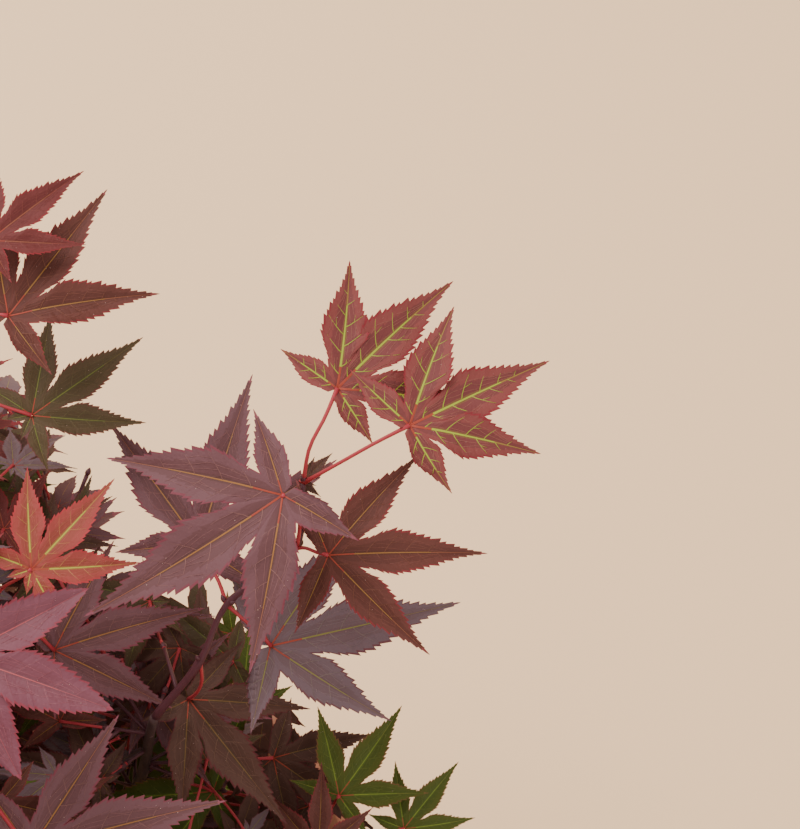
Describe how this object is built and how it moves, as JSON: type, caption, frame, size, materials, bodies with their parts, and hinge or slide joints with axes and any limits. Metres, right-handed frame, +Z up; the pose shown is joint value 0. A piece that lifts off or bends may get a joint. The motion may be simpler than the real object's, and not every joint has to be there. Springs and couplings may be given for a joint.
{
  "type": "potted japanese maple",
  "caption": "Small potted maple with a forked trunk, dark red star-shaped leaves and a plain tapered clay pot topped with moss.",
  "frame": {"origin": "middle of the pot's flat underside", "axes": "+Z up along the pot's axis; +Y towards the side with the tallest shoot; the first proud shoot points between +X and +Y"},
  "size_m": [0.3949, 0.4029, 0.5259],
  "materials": {
    "clay": "unglazed, matt",
    "moss": "moss over moist potting soil, matt",
    "bark": "thin young bark, matt",
    "twig": "smooth dark red twig, satin",
    "petiole": "smooth crimson leaf stalk, satin",
    "vein": "yellow-green leaf vein, satin",
    "leaf_purple": "purple-brown leaf, satin",
    "leaf_plum": "dark plum leaf, satin",
    "leaf_maroon": "maroon leaf, satin",
    "leaf_red_brown": "red-brown leaf, satin",
    "leaf_coral": "coral red young leaf, satin",
    "leaf_bronze": "green-bronze shaded leaf, satin"
  },
  "bodies": {
    "root": {"pot": "clay", "soil": "moss", "trunk": "bark", "leader": "bark", "bough_1": "bark", "bough_1_low_right": "bark", "bough_2": "bark", "bough_2_low_right": "bark", "bough_2_low_left": "bark", "bough_3": "bark", "bough_3_low_right": "bark", "bough_3_low_left": "bark", "bough_4": "bark", "bough_4_low_right": "bark", "bough_4_low_left": "bark", "bough_5": "bark", "bough_5_low_right": "bark", "bough_5_low_left": "bark", "leader_back": "bark", "leader_right": "bark", "leader_left": "bark", "leader_front": "bark", "leader_inner": "bark", "leader_deep": "bark", "foliage_leader": "leaf_purple", "foliage_bough_1": "leaf_maroon", "foliage_bough_1_low_right": "leaf_bronze", "foliage_bough_2": "leaf_plum", "foliage_bough_2_low_right": "leaf_red_brown", "foliage_bough_2_low_left": "leaf_purple", "foliage_bough_3": "leaf_maroon", "foliage_bough_3_low_right": "leaf_plum", "foliage_bough_3_low_left": "leaf_red_brown", "foliage_bough_4": "leaf_purple", "foliage_bough_4_low_right": "leaf_maroon", "foliage_bough_4_low_left": "leaf_plum", "foliage_bough_5": "leaf_red_brown", "foliage_bough_5_low_right": "leaf_purple", "foliage_bough_5_low_left": "leaf_maroon", "foliage_leader_back": "leaf_red_brown", "foliage_leader_right": "leaf_coral", "foliage_leader_left": "leaf_plum", "foliage_leader_front": "leaf_red_brown", "foliage_leader_inner": "leaf_plum", "foliage_leader_deep": "leaf_bronze"}
  },
  "joints": []
}
